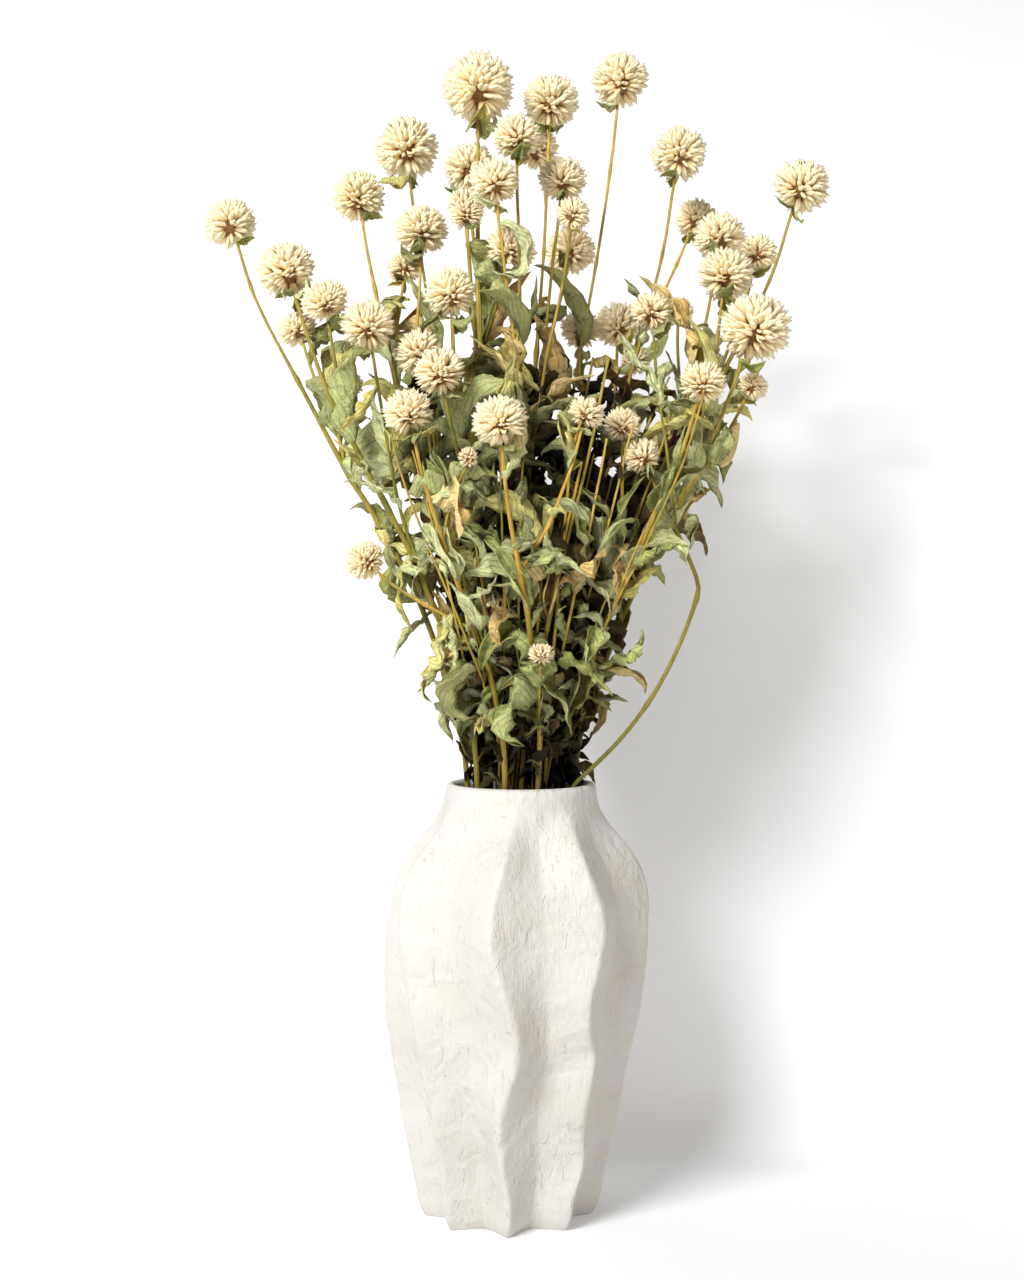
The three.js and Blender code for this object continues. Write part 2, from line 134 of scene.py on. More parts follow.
class Nodes:  # a node tree whose nodes are made and linked by short calls
    def node(self, kind, values=(), **settings):
        made = self.tree.nodes.new(kind)
        for key, value in settings.items():
            setattr(made, key, value)
        for key, value in dict(values).items():
            if isinstance(value, bpy.types.NodeSocket):
                self.tree.links.new(value, made.inputs[key])
            else:
                made.inputs[key].default_value = value
        return made

    def math(self, kind, a, b=0.0):
        return self.node("ShaderNodeMath", {0: a, 1: b}, operation=kind).outputs[0]

    def plus(self, a, b):
        return self.math("ADD", a, b)

    def minus(self, a, b):
        return self.math("SUBTRACT", a, b)

    def times(self, a, b):
        return self.math("MULTIPLY", a, b)


class Shader(Nodes):  # a material
    def __init__(self, name, roughness=0.6, **sockets):
        self.material = bpy.data.materials.new(name)
        self.material.use_nodes = True
        self.tree = self.material.node_tree
        self.surface = self.tree.nodes["Principled BSDF"]
        self.surface.inputs["Roughness"].default_value = roughness
        for label, value in sockets.items():
            self.surface.inputs[label.replace("_", " ")].default_value = value

    def place(self, scale=(1, 1, 1), turn=(0, 0, 0)):  # object coordinates, in metres times scale
        where = self.node("ShaderNodeTexCoord").outputs["Object"]
        return self.node("ShaderNodeMapping", {"Vector": where, "Scale": scale, "Rotation": turn}).outputs[0]

    def grow(self):  # along, across and tone of the piece's own attribute
        read = self.node("ShaderNodeAttribute", attribute_name="grow")
        split = self.node("ShaderNodeSeparateColor", {"Color": read.outputs["Color"]})
        return split.outputs[0], split.outputs[1], split.outputs[2], read.outputs["Alpha"]

    def paintedShadeDepth(self):  # 0 along the bunch's middle, 1 at its outline, and more above the shaded height: the stem and leaf materials paint shade by it
        place = self.node("ShaderNodeSeparateXYZ", {0: self.place()}).outputs
        wide = self.times(self.minus(place[2], mouthTop), bunch["widen"])
        wide = self.math("MINIMUM", self.plus(wide, bunch["narrow"]), bunch["widest"])
        x = self.math("DIVIDE", self.minus(place[0], bunch["middle"]), wide)
        y = self.math("DIVIDE", place[1], wide)
        away = self.math("SQRT", self.plus(self.times(x, x), self.times(y, y)))
        above = self.math("MAXIMUM", self.minus(place[2], mouthTop + bunch["shadedUpTo"]), 0.0)
        return self.plus(away, self.times(above, 9.0))

    def noise(self, where, scale, detail=3.0, rough=0.55, warp=0.0):
        values = {"Vector": where, "Scale": scale, "Detail": detail, "Roughness": rough, "Distortion": warp}
        return self.node("ShaderNodeTexNoise", values).outputs[0]

    def ramp(self, factor, stops):
        made = self.node("ShaderNodeValToRGB", {"Fac": factor})
        while len(made.color_ramp.elements) < len(stops):
            made.color_ramp.elements.new(0.5)
        for element, (at, colour) in zip(made.color_ramp.elements, stops):
            element.position = at
            element.color = (*colour, 1) if isinstance(colour, tuple) else (colour, colour, colour, 1)
        return made.outputs[0]

    def mix(self, kind, factor, a, b):
        made = self.node("ShaderNodeMix", data_type="RGBA", blend_type=kind)
        for socket, value in ((made.inputs[0], factor), (made.inputs[6], a), (made.inputs[7], b)):
            if isinstance(value, bpy.types.NodeSocket):
                self.tree.links.new(value, socket)
            else:
                socket.default_value = (*value, 1) if isinstance(value, tuple) else value
        return made.outputs[2]

    def set(self, label, value):
        self.tree.links.new(value, self.surface.inputs[label])

    def bump(self, height, strength, distance):
        made = self.node("ShaderNodeBump", {"Height": height, "Strength": strength, "Distance": distance})
        self.tree.links.new(made.outputs[0], self.surface.inputs["Normal"])


def ceramicMaterial():
    s = Shader("matteCeramic", 0.62)
    place = s.place()
    combed = s.noise(s.place((120, 120, 26), (0, 0.3, 0)), 3.0, 4.0, 0.6, 0.4)  # fine strokes up the flutes
    slanted = s.noise(s.place((100, 100, 34), (0.2, -0.9, 0.3)), 3.0, 3.0, 0.6, 1.0)
    patches = s.ramp(s.noise(place, 30, 2.0), [(0.42, 0.0), (0.58, 1.0)])
    strokes = s.mix("MIX", patches, combed, slanted)
    scratched = s.noise(s.place((300, 300, 70), (0.5, 0.7, 0)), 1.0, 2.0, 0.5, 1.5)
    burrs = s.ramp(scratched, [(0.66, 0.0), (0.74, 1.0)])
    lumps = s.noise(place, 70, 3.0, 0.5, 0.6)
    grain = s.noise(place, 900, 2.0, 0.7)
    pits = s.node("ShaderNodeTexVoronoi", {"Vector": place, "Scale": 95}).outputs["Distance"]
    pinholes = s.ramp(pits, [(0.0, 0.0), (0.055, 1.0)])
    clouds = s.noise(place, 26, 3.0)
    tint = s.ramp(clouds, [(0.3, (0.545, 0.512, 0.458)), (0.7, (0.585, 0.565, 0.53))])
    s.set("Base Color", s.mix("MULTIPLY", 0.5, tint, s.ramp(pinholes, [(0.0, 0.5), (1.0, 1.0)])))
    s.set("Roughness", s.ramp(combed, [(0.3, 0.5), (0.7, 0.72)]))
    height = s.plus(s.times(strokes, 0.55), s.times(grain, 0.1))
    height = s.plus(height, s.times(lumps, 1.5))
    height = s.plus(height, s.times(burrs, 0.25))
    s.bump(s.plus(height, s.times(pinholes, 0.25)), 0.8, 0.0016)
    return s.material


def stemMaterial():
    s = Shader("driedStem", 0.55, Specular_IOR_Level=0.25)
    along, across, tone, _ = s.grow()
    streaks = s.noise(s.place((700, 700, 22)), 1.0, 4.0, 0.6)
    green = s.ramp(tone, [(0.0, (0.19, 0.18, 0.02)), (0.5, (0.34, 0.24, 0.03)), (1.0, (0.16, 0.19, 0.02))])
    gold = s.ramp(tone, [(0.0, (0.50, 0.29, 0.04)), (0.5, (0.60, 0.39, 0.07)), (1.0, (0.27, 0.20, 0.03))])
    age = s.plus(s.times(s.noise(s.place(), 22, 2.0), 1.1), s.times(along, 0.35))
    colour = s.mix("MIX", s.ramp(age, [(0.55, 0.0), (0.95, 1.0)]), green, gold)
    colour = s.mix("MULTIPLY", 0.75, colour, s.ramp(streaks, [(0.3, 0.45), (0.65, 1.15)]))
    # painted shade: stems darker towards the bunch's middle, slightly lighter at its outline
    shade = s.ramp(s.paintedShadeDepth(), [(0.35, 0.2), (0.8, 0.85), (0.97, 1.05)])
    s.set("Base Color", s.mix("MULTIPLY", 1.0, colour, shade))
    s.bump(s.plus(streaks, s.math("SINE", s.times(across, 50.0))), 0.35, 0.0003)
    return s.material


def leafMaterial():
    s = Shader("driedLeaf", 0.75, Specular_IOR_Level=0.12, Subsurface_Weight=0.08, Subsurface_Scale=0.002)
    along, across, tone, side = s.grow()
    place = s.place()
    # the near-black kind at 0.86 is painted shade for the gaps deep in the bunch
    kinds = [(0.0, (0.22, 0.25, 0.05)), (0.25, (0.52, 0.53, 0.26)), (0.45, (0.13, 0.14, 0.02)),
             (0.6, (0.62, 0.54, 0.15)), (0.74, (0.62, 0.40, 0.15)), (0.86, (0.008, 0.007, 0.002)),
             (0.96, (0.11, 0.03, 0.06))]
    colour = s.ramp(tone, kinds)
    fromRib = s.math("ABSOLUTE", s.minus(across, 0.5))
    rib = s.ramp(fromRib, [(0.0, 1.0), (0.045, 0.0)])
    slant = s.minus(s.times(along, 52.0), s.times(fromRib, 44.0))
    veins = s.ramp(s.math("SINE", slant), [(0.72, 0.0), (1.0, 1.0)])
    blotches = s.noise(place, 120, 4.0, 0.65, 0.4)
    wrinkles = s.plus(s.noise(place, 340, 4.0, 0.7, 0.8), s.noise(place, 110, 3.0, 0.6, 1.5))
    colour = s.mix("MULTIPLY", 0.9, colour, s.ramp(blotches, [(0.32, 0.4), (0.66, 1.4)]))
    bright = s.ramp(tone, [(0.78, 1.0), (0.84, 0.1)])  # the near-black leaves, painted shade, stay dark
    colour = s.mix("MIX", s.times(s.times(rib, 0.5), bright), colour, (0.62, 0.55, 0.26))
    colour = s.mix("MIX", s.times(s.times(veins, 0.22), bright), colour, (0.55, 0.52, 0.26))
    pale = s.times(s.minus(1.0, side), 0.3)  # the underside is greyer
    colour = s.mix("MIX", s.times(pale, bright), colour, (0.50, 0.50, 0.27))
    dry = s.ramp(s.noise(place, 55, 3.0), [(0.55, 0.0), (0.75, 0.5)])
    edge = s.times(s.ramp(fromRib, [(0.32, 0.0), (0.5, 1.0)]), dry)
    colour = s.mix("MIX", s.times(edge, bright), colour, (0.34, 0.19, 0.07))
    # painted shade: leaves darker towards the bunch's middle; painted light: brighter at its outline and above
    # the shaded height
    shade = s.ramp(s.paintedShadeDepth(), [(0.42, 0.14), (0.82, 0.9), (0.98, 1.35)])
    s.set("Base Color", s.mix("MULTIPLY", 1.0, colour, shade))
    ridges = s.plus(s.times(veins, -0.5), s.times(rib, -0.8))
    s.bump(s.plus(ridges, wrinkles), 0.9, 0.002)
    return s.material


def bractMaterial():
    s = Shader("paperyBract", 0.6, Specular_IOR_Level=0.3, Subsurface_Weight=0.2, Subsurface_Scale=0.002)
    s.surface.inputs["Subsurface Radius"].default_value = (1.0, 0.85, 0.7)
    along, across, _, _ = s.grow()
    tone = s.node("ShaderNodeAttribute", attribute_name="bractTone").outputs["Fac"]
    base = s.ramp(along, [(0.0, (0.36, 0.17, 0.05)), (0.18, (0.85, 0.56, 0.26)),
                          (0.42, (1.0, 0.81, 0.45)), (0.9, (1.0, 0.885, 0.60))])
    warm = s.mix("MIX", s.times(tone, 0.4), base, (1.0, 0.76, 0.44))
    streaks = s.noise(s.place(), 900, 3.0, 0.6)
    s.set("Base Color", s.mix("MULTIPLY", 0.2, warm, s.ramp(streaks, [(0.35, 0.8), (0.6, 1.05)])))
    s.bump(s.math("SINE", s.times(across, 38.0)), 0.3, 0.0002)
    return s.material


def coreMaterial():
    s = Shader("flowerCore", 0.8)
    spots = s.noise(s.place(), 700, 3.0, 0.7)
    s.set("Base Color", s.ramp(spots, [(0.35, (0.12, 0.05, 0.01)), (0.65, (0.34, 0.17, 0.05))]))
    s.bump(spots, 0.6, 0.0006)
    return s.material


ceramic, driedStem, driedLeaf = ceramicMaterial(), stemMaterial(), leafMaterial()
bractSkin, coreSkin = bractMaterial(), coreMaterial()
print("materials made")


# the vase

vaseLook = {
    "turns": 256,  # points round
    "levels": 150,  # rows up the wall
    "lip": 3.0 * mm,  # half the wall, rounded over
    "softenRound": 1,  # passes that take the CAD's facets off the ridges
    "softenUp": 8,
    "thumbMarks": 0.8 * mm,
    "toolMarks": 0.2 * mm,
}


def soften(radii, roundPasses, upPasses):
    for _ in range(roundPasses):
        radii = (np.roll(radii, 1, 1) + 2 * radii + np.roll(radii, -1, 1)) / 4
    for _ in range(upPasses):
        wide = np.vstack([radii[:1], radii, radii[-1:]])
        inner = (wide[:-2] + 2 * wide[1:-1] + wide[2:]) / 4
        radii = np.vstack([radii[:1], inner[1:-1], radii[-1:]])
    return radii


def wallRadii(tree, heights, centres, turns, outside):
    radii = np.zeros((len(heights), len(turns)))
    for i, (z, centre) in enumerate(zip(heights, centres)):
        for j, turn in enumerate(turns):
            out = Vector((math.sin(turn), -math.cos(turn), 0))
            start = Vector((*centre, z)) + out * (0.12 if outside else 0.0)
            hit = tree.ray_cast(start, -out if outside else out)[0]
            radii[i, j] = math.hypot(hit.x - centre[0], hit.y - centre[1]) if hit else radii[i, j - 1]
    return radii


def marks(points, look):  # shallow hand and tool marks, along the wall's normal direction
    shift = np.zeros(len(points))
    for i, p in enumerate(points):
        broad = noise.noise(Vector(p) * 55)
        fine = noise.noise(Vector((p[0] * 260, p[1] * 260, p[2] * 90 + p[0] * 120)))
        shift[i] = look["thumbMarks"] * broad + look["toolMarks"] * fine
    return shift


def makeVase():
    look = vaseLook
    points, faces = cornersOf("vase")
    tree = BVHTree.FromPolygons(points.tolist(), faces.tolist())
    low, high = points.min(0), points.max(0)
    mouth = points[points[:, 2] > high[2] - 0.5 * mm]
    mouthCentre = (mouth.min(0) + mouth.max(0))[:2] / 2
    turns = np.linspace(0, 2 * math.pi, look["turns"], endpoint=False)
    insideFloor = tree.ray_cast(Vector((*mouthCentre, high[2])), Vector((0, 0, -1)))[0].z

    def ringPoints(heights, radii):
        centres = np.outer(heights / high[2], mouthCentre)
        x = centres[:, :1] + radii * np.sin(turns)
        y = centres[:, 1:] - radii * np.cos(turns)
        return np.stack([x, y, np.repeat(heights[:, None], len(turns), 1)], 2).reshape(-1, 3)

    heights = np.linspace(low[2] + 0.4 * mm, high[2] - look["lip"], look["levels"])
    outer = soften(wallRadii(tree, heights, np.outer(heights / high[2], mouthCentre), turns, True),
                   look["softenRound"], look["softenUp"])
    innerHeights = np.linspace(high[2] - look["lip"], insideFloor + 2 * mm, 44)
    inner = soften(wallRadii(tree, innerHeights, np.outer(innerHeights / high[2], mouthCentre), turns, False),
                   look["softenRound"], 2)
    outer += marks(ringPoints(heights, outer), look).reshape(outer.shape) * (outer > 0)
    bend = np.linspace(0, math.pi, 9)[1:-1, None]
    lipMiddle, lipHalf = (outer[-1] + inner[0]) / 2, (outer[-1] - inner[0]) / 2
    lip = lipMiddle + lipHalf * np.cos(bend)
    lipHeights = high[2] - look["lip"] + look["lip"] * np.sin(bend[:, 0])
    foot = np.array([outer[0] * 0.3, outer[0] * 0.9, outer[0] - 0.5 * mm])
    floor = np.array([inner[-1] - 1.2 * mm, inner[-1] * 0.6, inner[-1] * 0.12])
    radii = np.vstack([foot, outer, lip, inner, floor])
    levels = np.concatenate([[low[2]] * 3, heights, lipHeights, innerHeights, [insideFloor] * 3])
    ring = ringPoints(levels, radii)
    rows, columns = radii.shape
    ends = np.array([[0, 0, low[2]], [0, 0, insideFloor]])
    quads = gridFaces(rows, columns, closed=True).tolist()
    under = [(rows * columns, (c + 1) % columns, c) for c in range(columns)]
    last = (rows - 1) * columns
    top = [(rows * columns + 1, last + c, last + (c + 1) % columns) for c in range(columns)]
    piece = Piece()
    piece.add(np.vstack([ring, ends]), quads + under + top, growOf(np.zeros(len(ring) + 2), 0, 0))
    vase = piece.make("ridgedVase", ceramic)
    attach(vase, "root")
    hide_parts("vase")


makeVase()
print("vase made")


# reading the stems' lines off the CAD


def sliceOf(points, faces, z):  # closed loops where a stem meets a level plane: centre and size of each
    side = points[faces][:, :, 2] > z
    cut = faces[side.any(1) & ~side.all(1)]
    places, parent = {}, {}

    def root(k):
        while parent[k] != k:
            k = parent[k]
        return k

    for face in cut:
        ends = []
        for a, b in ((face[0], face[1]), (face[1], face[2]), (face[2], face[0])):
            if (points[a, 2] > z) != (points[b, 2] > z):
                key = (min(a, b), max(a, b))
                share = (z - points[key[0], 2]) / (points[key[1], 2] - points[key[0], 2])
                places[key] = points[key[0]] + share * (points[key[1]] - points[key[0]])
                parent.setdefault(key, key)
                ends.append(key)
        parent[root(ends[0])] = root(ends[1])
    groups = {}
    for key in places:
        groups.setdefault(root(key), []).append(places[key])
    loops = []
    for group in groups.values():
        group = np.array(group)
        loops.append(((group.min(0) + group.max(0)) / 2, np.ptp(group, 0).max()))
    return loops


def tipOf(points, flowerCentre):  # middle of the stem's cut end right under a flower
    nearest = points[np.argmin(np.linalg.norm(points - flowerCentre, axis=1))]
    return points[np.linalg.norm(points - nearest, axis=1) < 2.5 * mm].mean(0)


def followDown(slices, heights, tip, heading, trunk=None):
    line, way, missed = [tip], heading, 0
    for loops, z in zip(slices, heights):
        if z > tip[2] - 1.5 * mm:
            continue
        here = line[-1]
        guess = here + way * min((here[2] - z) / max(-way[2], 0.35), 12 * mm) if not missed else here
        reach = (3 + 4.5 * missed) * mm
        fits = [c for c, size in loops if size < 7 * mm and np.linalg.norm((c - guess)[:2]) < reach]
        missed = 0 if fits else missed + 1
        if fits:
            line.append(min(fits, key=lambda c: np.linalg.norm((c - guess)[:2])))
            way = unit(line[-1] - line[max(0, len(line) - 5)])
        if trunk is not None and np.linalg.norm(trunk - line[-1], axis=1).min() < 1.6 * mm:
            break
    return np.array(line[::-1])  # from the foot up


def smoothLine(line, passes=3):
    for _ in range(passes):
        line = np.vstack([line[:1], (line[:-2] + 2 * line[1:-1] + line[2:]) / 4, line[-1:]])
    return line


def readStem(node, flowers):  # its trunk first, then its shoots, each from its fork up
    points, faces = cornersOf(node)
    heights = np.arange(points[:, 2].max(), points[:, 2].min() + 1 * mm, -4 * mm)
    slices = [sliceOf(points, faces, z) for z in heights]
    runs, trunk = [], None
    for flower in flowers:
        low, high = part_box(flower)
        centre = np.array((low + high) / 2)
        tip = tipOf(points, centre)
        line = followDown(slices, heights, tip, unit(tip - centre), trunk)
        if trunk is not None:
            away = np.array([np.linalg.norm(trunk - p, axis=1).min() for p in line])
            cut = int(np.argmin(away))
            line = np.vstack([trunk[np.argmin(np.linalg.norm(trunk - line[cut], axis=1))], line[cut + 1:]])
        line = smoothLine(line)
        runs.append(line)
        trunk = line if trunk is None else trunk
    return points, faces, runs


def ownersOf():  # which stem holds each flower: the one that comes nearest to it
    clouds = {node: cornersOf(node)[0] for node in stemNodes}
    held = {node: [] for node in stemNodes}
    for flower in flowerNodes:
        points = cornersOf(flower)[0]
        gaps = {n: min(np.linalg.norm(c - p, axis=1).min() for p in points) for n, c in clouds.items()}
        held[min(gaps, key=gaps.get)].append(flower)
    return held


def readBlades(points, faces, runs):  # each CAD leaf as base, tip, width and the way it faces
    path = np.vstack(runs)
    gap = np.array([np.linalg.norm(path - p, axis=1).min() for p in points])
    outside = set(np.nonzero(gap > 3.0 * mm)[0].tolist())
    links = {i: set() for i in outside}
    for face in faces:
        for a in face:
            for b in face:
                if a != b and int(a) in outside and int(b) in outside:
                    links[int(a)].add(int(b))
    blades = []
    while outside:
        todo, group = [outside.pop()], []
        while todo:
            i = todo.pop()
            group.append(i)
            fresh = links[i] & outside
            outside -= fresh
            todo += fresh
        cloud, far = points[group], gap[group]
        tip = cloud[far > far.max() - 1.5 * mm].mean(0)
        sides = cloud[far <= far.max() - 1.5 * mm]
        if len(sides) < 2:
            continue
        middle = sides.mean(0)
        reach = middle - (tip - middle) * 0.8
        base = path[np.argmin(np.linalg.norm(path - reach, axis=1))]
        across = sides[np.argmax(np.linalg.norm(sides - sides[0], axis=1))] - sides[0]
        if np.linalg.norm(tip - base) > 10 * mm:
            blades.append((base, tip, middle, across))
    return blades


plants = {}
for node, flowers in ownersOf().items():
    points, faces, runs = readStem(node, flowers)
    plants[node] = {"flowers": flowers, "runs": runs, "blades": readBlades(points, faces, runs)}
print("read", sum(len(p["runs"]) for p in plants.values()), "shoots and",
      sum(len(p["blades"]) for p in plants.values()), "leaves off the frame")


# the stems

stemLook = {
    "thick": 1.3 * mm,  # a trunk's radius below its forks
    "thin": 0.75 * mm,  # at the top of a shoot
    "sides": 10,
    "step": 5 * mm,
    "ribs": 0.05,  # how deep the ribs are, as a share of the radius
    "jointEvery": 52 * mm,
    "jointSwell": 0.5,
    "sway": 0.7 * mm,
}


def evenly(line, step):  # the same line with points a step apart
    lengths = np.concatenate([[0], np.cumsum(np.linalg.norm(np.diff(line, axis=0), axis=1))])
    at = np.linspace(0, lengths[-1], max(4, int(lengths[-1] / step) + 1))
    return np.stack([np.interp(at, lengths, line[:, k]) for k in range(3)], 1), at


def sweep(line, radii, sides, squash=1.0, ribs=0.0, turn=0.0):  # a closed tube: its points and faces
    ways = np.gradient(line, axis=0)
    ways /= np.linalg.norm(ways, axis=1)[:, None]
    side = unit(np.cross(ways[0], [0.3, 1, 0.1]))
    rings, angles = [], np.linspace(0, 2 * math.pi, sides, endpoint=False) + turn
    for p, way, r in zip(line, ways, radii):
        side = unit(side - way * side.dot(way))
        other = np.cross(way, side)
        rr = r * (1 + ribs * np.cos(5 * (angles - turn)))
        rings.append(p + np.outer(rr * np.cos(angles), side) + np.outer(rr * squash * np.sin(angles), other))
    count = len(line)
    points = np.vstack(rings + [line[:1], line[-1:]])
    quads = gridFaces(count, sides, closed=True).tolist()
    first = [(count * sides, (k + 1) % sides, k) for k in range(sides)]
    last = (count - 1) * sides
    top = [(count * sides + 1, last + k, last + (k + 1) % sides) for k in range(sides)]
    return points, quads + first + top


bowed = {"node": "stem_05", "out": 9 * mm, "thinner": 0.78, "tone": 0.92}  # the stem standing out to the right


def bowOut(run):  # its lower part, from the mouth to its knee, as one arc
    knee = int(np.argmax(run[:, 0]))
    foot = int(np.argmin(np.abs(run[:, 2] - mouthTop)))
    share = np.linspace(0, 1, knee - foot + 1)[:, None]
    chord = run[knee] - run[foot]
    out = unit(np.array([chord[2], 0, -chord[0]]))
    line = run.copy()
    line[foot:knee + 1] = run[foot] + chord * share + out * np.sin(math.pi * share) * bowed["out"]
    return line


def addStemRun(piece, run, isTrunk, forkHeight, rng, tone, thinner=1.0):
    look = stemLook
    line, at = evenly(run, look["step"])
    z = line[:, 2]
    blend = np.clip((z - forkHeight) / (60 * mm), 0, 1)
    radii = look["thick"] * (1 - blend) + look["thin"] * blend if isTrunk else np.full(len(z), look["thin"])
    radii = radii * thinner * (1.06 - 0.1 * at / max(at[-1], 1e-6))
    joint = (at + rng.uniform(0, 30) * mm) / look["jointEvery"]
    fromJoint = np.abs(joint - np.round(joint)) * look["jointEvery"]
    bare = z > cadHigh[2] * 0.4
    radii *= 1 + look["jointSwell"] * np.exp(-((fromJoint / (2.6 * mm)) ** 2)) * bare
    free = np.clip(at / (40 * mm), 0, 1) * np.clip((at[-1] - at) / (30 * mm), 0, 1) * bare
    zigzag = np.cos(math.pi * joint) * look["sway"] * free
    swing = rng.uniform(0, 2 * math.pi)
    line = line + np.outer(zigzag, [math.cos(swing), math.sin(swing), 0])
    points, faces = sweep(line, radii, look["sides"], 0.93, look["ribs"], rng.uniform(0, 6))
    ends = [z[0], z[-1]]
    along = np.concatenate([np.repeat(z, look["sides"]), ends]) / cadHigh[2]
    across = np.concatenate([np.tile(np.arange(look["sides"]) / look["sides"], len(z)), [0, 0]])
    piece.add(points, faces, growOf(along, across, tone))


# leaves

leafLook = {
    "rowLength": 1.9 * mm,  # of mesh along a leaf
    "columns": 7,  # across a small leaf
    "wideColumns": 9,
    "thickness": 0.22 * mm,
    "curl": (0.4, 3.4),  # radians from base to tip
    "roll": (0.6, 3.2),  # how far the margins roll in
    "twist": 1.3,
    "crumple": 0.22,  # as a share of the width
}


def leafOutline(s):
    return np.clip(np.sin(math.pi * np.clip(s, 0, 1) ** 0.72), 0, 1) ** 0.9 * (1 - 0.35 * s) + 0.03 * (1 - s)


def creased(x):  # a wave with straight sides and sharp folds
    return np.abs(np.mod(x, 2) - 1) * 2 - 1


def leafSheet(base, way, face, length, width, rng, dry):  # one crumpled leaf
    look = leafLook
    rows = int(np.clip(length / look["rowLength"], 9, 23))
    columns = look["wideColumns" if width > 10 * mm else "columns"]
    s, t = np.linspace(0, 1, rows), np.linspace(-1, 1, columns)
    curl = rng.uniform(*look["curl"]) * (0.4 + dry) * (1 if rng.random() < 0.72 else -0.6)
    pitch = curl * (s**1.4 - 0.25) + 0.3 * np.sin(s * rng.uniform(4, 9) + rng.uniform(0, 6)) * dry
    yaw = rng.uniform(-0.5, 0.5) * s + 0.15 * np.sin(s * 5 + rng.uniform(0, 6))
    roll = rng.uniform(-look["twist"], look["twist"]) * s * (0.4 + dry)
    across0 = unit(np.cross(face, way))
    face = np.cross(way, across0)
    axes = np.stack([way, across0, face])
    ways = np.stack([np.cos(pitch) * np.cos(yaw), np.sin(yaw), -np.sin(pitch) * np.cos(yaw)], 1)
    middle = np.vstack([[0, 0, 0], np.cumsum((ways[1:] + ways[:-1]) / 2, 0)]) * length / (rows - 1)
    flat = np.stack([-ways[:, 1], ways[:, 0], np.zeros(rows)], 1)
    flat /= np.linalg.norm(flat, axis=1)[:, None]
    lift = np.cross(ways, flat)
    side = flat * np.cos(roll)[:, None] + lift * np.sin(roll)[:, None]
    rise = np.cross(ways, side)
    half = width / 2 * leafOutline(s)
    half = half * (1 + 0.3 * dry * creased(s * rng.uniform(5, 9) + rng.uniform(0, 2)))
    bend = rng.uniform(*look["roll"]) * (0.3 + dry)
    out = np.sin(bend * t) / bend
    cup = (1 - np.cos(bend * t)) / bend * (1 if rng.random() < 0.7 else -1)
    waves, lags = rng.uniform(9, 19), rng.uniform(0, 6, 2)
    ripple = np.sin(waves * s[:, None] + lags[0] * np.sign(t) + lags[1]) * t**2 * 0.2 * (0.3 + dry)
    rough = sum(creased(rng.uniform(2, 9) * s[:, None] + rng.uniform(-2, 2) * t + rng.uniform(0, 2))
                for _ in range(5))
    fold = np.abs(t) * rng.uniform(-0.3, 1.0)
    height = cup + ripple + fold + rough * look["crumple"] * (0.2 + dry) * (1 - np.exp(-6 * s[:, None]))
    sheet = middle[:, None] + side[:, None] * (half[:, None] * out)[..., None]
    sheet = sheet + rise[:, None] * (half[:, None] * height)[..., None]
    normal = np.cross(np.gradient(sheet, axis=0), np.gradient(sheet, axis=1))
    normal /= np.linalg.norm(normal, axis=2)[..., None] + 1e-12
    top = (sheet + normal * look["thickness"] / 2).reshape(-1, 3)
    under = (sheet - normal * look["thickness"] / 2).reshape(-1, 3)
    points = np.vstack([top, under]) @ axes + base
    count = rows * columns
    quads = gridFaces(rows, columns, flip=True).tolist() + gridFaces(rows, columns, start=count).tolist()
    edge = [*range(columns), *range(2 * columns - 1, count, columns),
            *range(count - 2, count - columns - 1, -1), *range(count - 2 * columns, 0, -columns)]
    quads += [(a, b, b + count, a + count) for a, b in zip(edge, edge[1:] + edge[:1])]
    along = np.tile(np.repeat(s, columns), 2)
    across = np.tile(np.tile((t + 1) / 2, rows), 2)
    side = np.repeat([1.0, 0.0], count)
    return points, quads, along, across, side


leafTones = {  # places on the leaf material's ramp, and how often each is met
    "kinds": [0.05, 0.22, 0.42, 0.58, 0.72, 0.85, 0.97],  # green, sage, olive, yellow, tan, near-black painted shade, purple
    "outer": [0.22, 0.33, 0.13, 0.16, 0.13, 0.01, 0.02],
    # deep in the bunch most leaves are near-black: painted shade between its stems
    "deep": [0.04, 0.0, 0.14, 0.0, 0.0, 0.82, 0.0],
    "purple": 0.93,  # from here up
    "purpleLength": 24 * mm,  # a longer leaf turns olive
    "olive": 0.42,
}


def leafTone(rng, kind="outer"):
    return float(rng.choice(leafTones["kinds"], p=leafTones[kind]) + rng.uniform(-0.02, 0.02))


def addLeaf(piece, base, tip, face, width, rng, dry, tone=None, reach=1.1):
    way = unit(tip - base)
    length = np.linalg.norm(tip - base) * reach
    points, faces, along, across, side = leafSheet(base, way, face, length, width, rng, dry)
    grow = growOf(along, across, leafTone(rng) if tone is None else tone)
    grow[:, 3] = side
    piece.add(points, faces, grow)


# crumpled leaves besides the frame's own, which stand where the bunch is thick; most deep ones are near-black,
# painted shade for the gaps inside it

thicket = {
    "outer": {"from": 0.022, "to": 0.205, "every": 17 * mm, "length": (20 * mm, 44 * mm), "width": (0.28, 0.5),
              "reach": 1.2},
    "deep": {"from": -0.006, "to": 0.19, "every": 6 * mm, "length": (14 * mm, 30 * mm), "width": (0.3, 0.55),
             "reach": 0.72},
    "headRoom": 15 * mm,  # no leaf in front of a flower nearer than this to its middle
}

headCentres = np.array([np.array((low + high) / 2) for low, high in map(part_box, flowerNodes)])


def hidesHead(point):
    near = np.abs(headCentres - point)[:, [0, 2]].max(1) < thicket["headRoom"]
    return bool((near & (point[1] < headCentres[:, 1] + 6 * mm)).any())


def halfWidth(z):
    return min(bunch["widest"], bunch["narrow"] + bunch["widen"] * max(z - mouthTop, 0))


